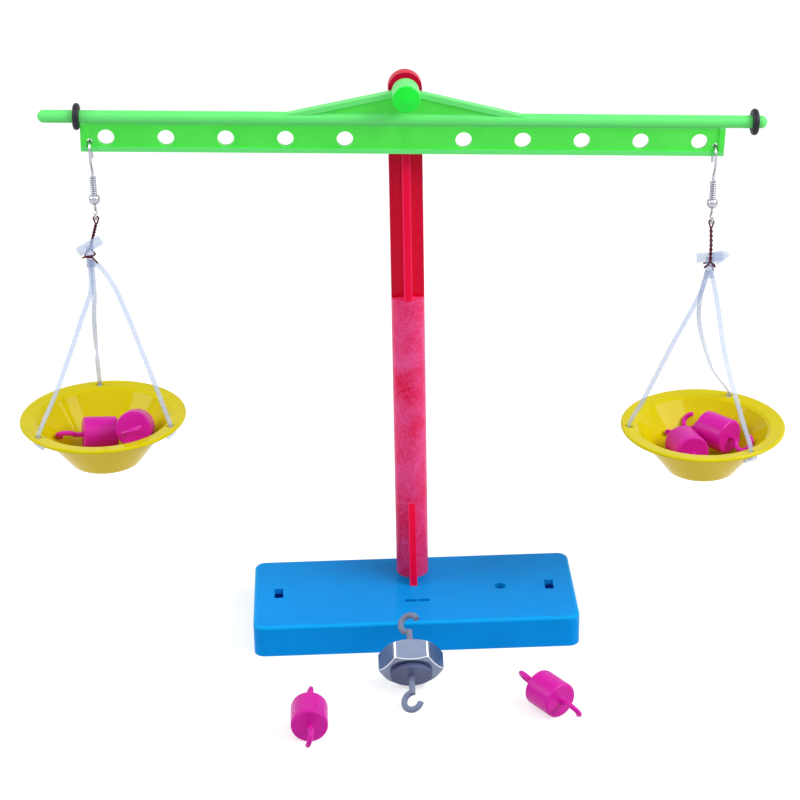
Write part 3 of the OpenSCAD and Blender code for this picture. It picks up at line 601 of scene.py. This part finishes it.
tie_red = paint(84, 18, 34)
tie_copper = plated_metal("tie_copper", tie_red, gloss=0.34, scratch_scale=3200, metallic=0.75)
tie_loop = [(x, 0, z) for x, z in arc_points((0, -eye_r), tie_loop_r, 180, 0, tie_loop_steps)]
for side, (hook_x, hook_y, hook_z) in hook_places.items():
    tie_route = tie_strand(side, -1)[::-1] + tie_loop + tie_strand(side, 1)
    eye_place = (hook_x, hook_y, hook_z - eye_drop)
    tie = bent_wire(side + "_twisted_tie", tie_route, tie_wire_d, eye_place)
    tie.data.materials.append(tie_copper)
    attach(tie, side + "_bowl")
    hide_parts(side + "_tie_wire")

# Hangers: soft milky plastic, cut or moulded in one piece with a tab, a neck and three flat straps.
# A toggle bar on each strap's end is pushed through the brim's hole and lies crosswise under it.
# A strap's route is given in shares of the way from the neck to its hole, in each direction.
hanger_h = 45.2
hole_circle_r = 19.9
first_hole = {"left": 97, "right": 60}
strap_w = 1.25
strap_t = 0.5
strap_edge = 0.12
strap_steps = 10
strap_routes = {
    "left": [
        [(-0.1, 0, 0.02), (-0.1, 0.02, 0.22), (0.3, 0.2, 0.42), (0.7, 0.6, 0.72), (0.95, 0.95, 0.96)],
        [(0.02, 0, 0.02), (0.03, 0.02, 0.2), (0.2, 0.18, 0.36), (0.62, 0.62, 0.72), (0.96, 0.96, 0.96)],
        [(0.02, 0, 0.02), (0.2, 0.1, 0.1), (0.4, 0.3, 0.26), (0.75, 0.7, 0.68), (0.97, 0.97, 0.96)],
    ],
    "right": [
        [(-0.05, 0, 0.02), (-0.2, 0.03, 0.2), (-0.1, 0.3, 0.42), (0.4, 0.7, 0.76), (0.95, 0.95, 0.96)],
        [(0.02, 0, 0.02), (0.12, 0.1, 0.18), (0.45, 0.45, 0.48), (0.8, 0.8, 0.82), (0.97, 0.97, 0.96)],
        [(0.04, 0, 0.02), (0.22, 0.05, 0.2), (0.4, 0.4, 0.5), (0.75, 0.78, 0.8), (0.97, 0.97, 0.96)],
    ],
}
toggle_d = 1.2
toggle_len = 4.2
toggle_z = -47.825
toggle_sides = 20
toggle_bevel = 0.3
tab_w = 7.0
tab_h = 2.5
tab_z = 2.85
tab_tilts = {"left": 28, "right": 4}
plate_bevel = 0.22
bevel_steps = 3
neck_t = 0.9
neck_relief = 0.03
neck_outline = [(-1, tab_z), (-1, -1.5), (-1.25, -3), (1.25, -3), (1, -1.5), (1, tab_z)]
fold_front = -1.3
fold_outline = [(0.7, 1.8), (1.9, 1.1), (5.0, 3.4), (4.2, 4.6), (0.6, 4.4)]
strap_smooth = math.radians(40)


def flat_strap(name, run, lie, origin):
    w = strap_w / 2
    t = strap_t / 2
    outline = [
        (w, -t + strap_edge), (w, t - strap_edge), (w - strap_edge, t), (-w + strap_edge, t),
        (-w, t - strap_edge), (-w, -t + strap_edge), (-w + strap_edge, -t), (w - strap_edge, -t),
    ]
    points = []
    for i, point in enumerate(run):
        along = (run[min(i + 1, len(run) - 1)] - run[max(i - 1, 0)]).normalized()
        share = i / (len(run) - 1)
        aim = (1 - share) * Vector((1, 0, 0)) + share * lie
        broad = (aim - aim.dot(along) * along).normalized()
        thin = along.cross(broad)
        for a, b in outline:
            points.append((Vector(origin) + point + a * broad + b * thin) * MM)
    n = len(outline)
    faces = []
    for i in range(len(run) - 1):
        for j in range(n):
            a = i * n + j
            b = i * n + (j + 1) % n
            faces.append((a, b, b + n, a + n))
    faces.append(tuple(reversed(range(n))))
    faces.append(tuple(range(len(points) - n, len(points))))
    mesh = bpy.data.meshes.new(name)
    mesh.from_pydata(points, [], faces)
    strap = bpy.data.objects.new(name, mesh)
    bpy.context.scene.collection.objects.link(strap)
    return strap


def soften(piece, width):
    bevel = piece.modifiers.new("soften", "BEVEL")
    bevel.width = width * MM
    bevel.segments = bevel_steps
    bevel.limit_method = "ANGLE"
    bpy.ops.object.modifier_apply(modifier="soften")


def toggle_bar(angle, place):
    bpy.ops.object.select_all(action="DESELECT")
    bpy.ops.mesh.primitive_cylinder_add(
        vertices=toggle_sides, radius=toggle_d / 2 * MM, depth=toggle_len * MM
    )
    toggle = bpy.context.object
    soften(toggle, toggle_bevel)
    toggle.rotation_euler = (math.pi / 2, 0, angle)
    toggle.location = place * MM
    bpy.ops.object.transform_apply(location=True, rotation=True, scale=True)
    return toggle


def face_outwards():
    bpy.ops.object.mode_set(mode="EDIT")
    bpy.ops.mesh.select_all(action="SELECT")
    bpy.ops.mesh.normals_make_consistent(inside=False)
    bpy.ops.object.mode_set(mode="OBJECT")


def soft_plate(name, outline, front, thickness, origin):
    mesh = bpy.data.meshes.new(name)
    corners = [(Vector((x, front, z)) + origin) * MM for x, z in outline]
    mesh.from_pydata(corners, [], [range(len(corners))])
    plate = bpy.data.objects.new(name, mesh)
    bpy.context.scene.collection.objects.link(plate)
    only(plate)
    bpy.ops.object.mode_set(mode="EDIT")
    bpy.ops.mesh.select_all(action="SELECT")
    bpy.ops.mesh.extrude_region_move(TRANSFORM_OT_translate={"value": (0, thickness * MM, 0)})
    face_outwards()
    soften(plate, plate_bevel)
    return plate


milk_dark = paint(184, 204, 240)
milk_light = paint(204, 219, 248)
milk_scales = (1800, 90)
milk_bump = 0.2
milk_cover = 0.42
hanger_milk = moulded_plastic(
    "hanger_milk", milk_dark, milk_light, gloss=0.30, shine=0.5, scales=milk_scales, bump=milk_bump
)
hanger_milk.node_tree.nodes["Principled BSDF"].inputs["Alpha"].default_value = milk_cover

for side, hook_place in hook_places.items():
    neck_place = Vector(hook_place) + Vector((sways[side], 0, -eye_drop - tie_lengths[side]))
    made = []
    for k in range(3):
        angle = math.radians(first_hole[side] + 120 * k)
        hole = Vector((hole_circle_r * math.cos(angle), hole_circle_r * math.sin(angle), -hanger_h))
        strap_end = Vector((hole.x, hole.y, toggle_z))
        stops = [(x * hole.x, y * hole.y, z * hole.z) for x, y, z in strap_routes[side][k]]
        stops += [hole, strap_end]
        lie = Vector((-math.sin(angle), math.cos(angle), 0))
        made.append(flat_strap(f"{side}_strap_{k}", smooth_run(stops, strap_steps), lie, neck_place))
        made.append(toggle_bar(angle, neck_place + strap_end))
    tilt = math.radians(tab_tilts[side])
    tab_outline = []
    for over, up in ((-0.5, -0.5), (0.5, -0.5), (0.5, 0.5), (-0.5, 0.5)):
        x = over * tab_w
        z = up * tab_h
        corner_x = x * math.cos(tilt) - z * math.sin(tilt)
        tab_outline.append((corner_x, tab_z + x * math.sin(tilt) + z * math.cos(tilt)))
    neck_front = -neck_t / 2 + neck_relief
    made.append(soft_plate(side + "_tab", tab_outline, -neck_t / 2, neck_t, neck_place))
    made.append(soft_plate(side + "_neck", neck_outline, neck_front, neck_t - 2 * neck_relief, neck_place))
    if side == "right":
        made.append(soft_plate("right_fold", fold_outline, fold_front, neck_t, neck_place))
    only(made[0])
    for piece in made:
        piece.select_set(True)
    bpy.ops.object.join()
    hanger = bpy.context.object
    hanger.name = side + "_soft_hanger"
    only(hanger)
    bpy.ops.object.shade_smooth_by_angle(angle=strap_smooth)
    hanger.data.materials.clear()
    hanger.data.materials.append(hanger_milk)
    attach(hanger, side + "_bowl")
    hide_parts(side + "_hanger")

# Bowls: thin yellow mouldings, glossy inside and out, with a flat brim that has three holes.
# Each hangs in its hanger by the toggle bars under the brim.
# The light that comes through the thin wall is painted on: its outside is a lighter yellow, as painted
# light.
bowl_floor_r = 8.7
bowl_rim_inner_r = 17.8
bowl_depth = 12.2
bowl_wall = 1.0
brim_drop = 0.45
wall_slope = (bowl_rim_inner_r - bowl_floor_r) / (bowl_depth - brim_drop)
wall_middle_r = bowl_floor_r + wall_slope * bowl_depth + bowl_wall * math.hypot(1, wall_slope) / 2
brim_middle = -(brim_drop + bowl_wall / 2)
bowl_dark = paint(213, 196, 0)
bowl_light = paint(219, 203, 0)
bowl_outside_painted_light = paint(238, 206, 0)
for side in ("left", "right"):
    bowl_yellow = moulded_plastic(side + "_bowl_yellow", bowl_dark, bowl_light, gloss=0.02, shine=0.08)
    bowl_tree, bowl_shader, bowl_shades = opened(bowl_yellow)
    low, high = [Vector(corner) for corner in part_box(side + "_pan")]
    rim_centre = ((low.x + high.x) / 2, (low.y + high.y) / 2, high.z)
    bowl_x, bowl_y, bowl_z = axes_at(bowl_tree, rim_centre)
    bowl_r = mask_radius(bowl_tree, bowl_x, bowl_y)
    # Painted light: the outside of the wall is a lighter yellow.
    wall_lean = mask_step(bowl_tree, "MULTIPLY", bowl_z, wall_slope)
    from_wall = mask_step(bowl_tree, "SUBTRACT", bowl_r, wall_lean)
    past_wall = mask_step(bowl_tree, "GREATER_THAN", from_wall, wall_middle_r * MM)
    under_brim = mask_step(bowl_tree, "LESS_THAN", bowl_z, brim_middle * MM)
    painted_light_outside = mask_step(bowl_tree, "MULTIPLY", past_wall, under_brim)
    bowl_colour = mask_blend(bowl_tree, painted_light_outside, bowl_shades, bowl_outside_painted_light)
    bowl_tree.links.new(bowl_colour, bowl_shader.inputs["Base Color"])
    dress([side + "_pan"], bowl_yellow)

# Hooked weights: pink drums moulded in one with an open hook on each end, so that they hang in a chain.
# Four lie in the bowls and two on the table.
weight_dark = paint(206, 14, 156)
weight_light = paint(214, 26, 168)
weight_pink = moulded_plastic("weight_pink", weight_dark, weight_light, gloss=0.30, shine=0.2)
dress(
    [
        "left_weight_lying", "left_weight_leaning", "right_weight_left",
        "right_weight_right", "table_weight_left", "table_weight_right",
    ],
    weight_pink,
)

# Nut weight: a bright zinc-plated steel nut, pressed on a grey moulded core with a flange and two hooks.
# The zinc is crystalline and a little rough, with painted highlights on its edges.
# The core has a matt skin; its hooks are painted a paler grey, as painted light.
nut_flats = 15.0
nut_h = 6.0
nut_bore = 8.6
nut_chamfer_r = 7.2
nut_edge = 0.16
nut_hook_reach = 10.6
core_rod_d = 1.6
core_end = 4.3
hex_half = math.pi / 6
nut_smooth = math.radians(30)
nut_rest = math.atan2(nut_hook_reach, nut_flats / 2)
nut_lean = math.acos(core_rod_d / 2 / math.hypot(nut_flats / 2, nut_hook_reach)) - nut_rest
nut_turn = (0, math.pi / 2 + nut_lean, -math.pi / 2)
nut_middle = sum((Vector(corner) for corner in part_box("hex_nut")), Vector()) / 2

core_grey = moulded_plastic("core_grey", paint(84, 93, 131), paint(97, 106, 145), gloss=0.42, shine=0.2)
core_hook_painted_light = paint(120, 130, 156)
core_tree, core_shader, core_shades = opened(core_grey)
core_z = axes_at(core_tree, nut_middle, nut_turn)[2]
# Painted light: the hooks are a paler grey than the flange.
along_core = mask_step(core_tree, "ABSOLUTE", core_z)
painted_light_hooks = mask_step(core_tree, "GREATER_THAN", along_core, core_end * MM)
core_colour = mask_blend(core_tree, painted_light_hooks, core_shades, core_hook_painted_light)
core_tree.links.new(core_colour, core_shader.inputs["Base Color"])
dress(["nut_weight_core"], core_grey)

nut_zinc = plated_metal("nut_zinc", paint(122, 132, 156), gloss=0.26, scratch_scale=1500)
zinc_highlight = paint(236, 238, 242)
zinc_tree, zinc_shader, zinc_dull = opened(nut_zinc)
# Painted highlights: the faces marked on the nut are a bright, near-white zinc.
zinc_edge_mask = zinc_tree.nodes.new("ShaderNodeAttribute")
zinc_edge_mask.attribute_name = "highlight_edges"
zinc_colour = mask_blend(zinc_tree, zinc_edge_mask.outputs["Fac"], zinc_dull, zinc_highlight)
zinc_tree.links.new(zinc_colour, zinc_shader.inputs["Base Color"])

flat_end = math.atan2(nut_flats / 2 * math.tan(hex_half) - 2 * nut_edge, nut_flats / 2)
flat_steps = 12
nut_rounds = []
for flat in range(6):
    for k in range(flat_steps + 1):
        lean = flat_end * (2 * k / flat_steps - 1)
        radius = nut_flats / 2 / math.cos(lean)
        drop = (radius - nut_edge - nut_chamfer_r) * math.tan(hex_half)
        upper = [
            (nut_bore / 2, nut_h / 2),
            (nut_chamfer_r, nut_h / 2),
            (radius - nut_edge, nut_h / 2 - drop),
            (radius, nut_h / 2 - drop - nut_edge),
        ]
        profile = upper + [(r, -z) for r, z in reversed(upper)]
        angle = flat * math.pi / 3 + lean
        nut_rounds.append([
            (r * math.cos(angle) * MM, r * math.sin(angle) * MM, z * MM) for r, z in profile
        ])
ring = len(nut_rounds[0])
# Faces on the rims and the corner edges get the painted highlight.
highlight_rims = (2, 4)
outer_side = 3
nut_faces = []
nut_highlights = []
for i in range(len(nut_rounds)):
    on_corner = i % (flat_steps + 1) == flat_steps
    after = (i + 1) % len(nut_rounds)
    for j in range(ring):
        beside = (j + 1) % ring
        nut_faces.append((i * ring + j, i * ring + beside, after * ring + beside, after * ring + j))
        nut_highlights.append(1.0 if j in highlight_rims or on_corner and j == outer_side else 0.0)
nut_mesh = bpy.data.meshes.new("zinc_nut")
nut_mesh.from_pydata([point for points in nut_rounds for point in points], [], nut_faces)
nut_mesh.attributes.new("highlight_edges", "FLOAT", "FACE").data.foreach_set("value", nut_highlights)
nut_mesh.materials.append(nut_zinc)
nut = bpy.data.objects.new("zinc_nut", nut_mesh)
bpy.context.scene.collection.objects.link(nut)
only(nut)
face_outwards()
nut.matrix_world = (
    Matrix.Translation(nut_middle)
    @ Matrix.Rotation(nut_turn[2], 4, "Z")
    @ Matrix.Rotation(nut_turn[1], 4, "Y")
)
bpy.ops.object.transform_apply(location=True, rotation=True, scale=True)
bpy.ops.object.shade_smooth_by_angle(angle=nut_smooth)
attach(nut, "nut_weight")
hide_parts("hex_nut")
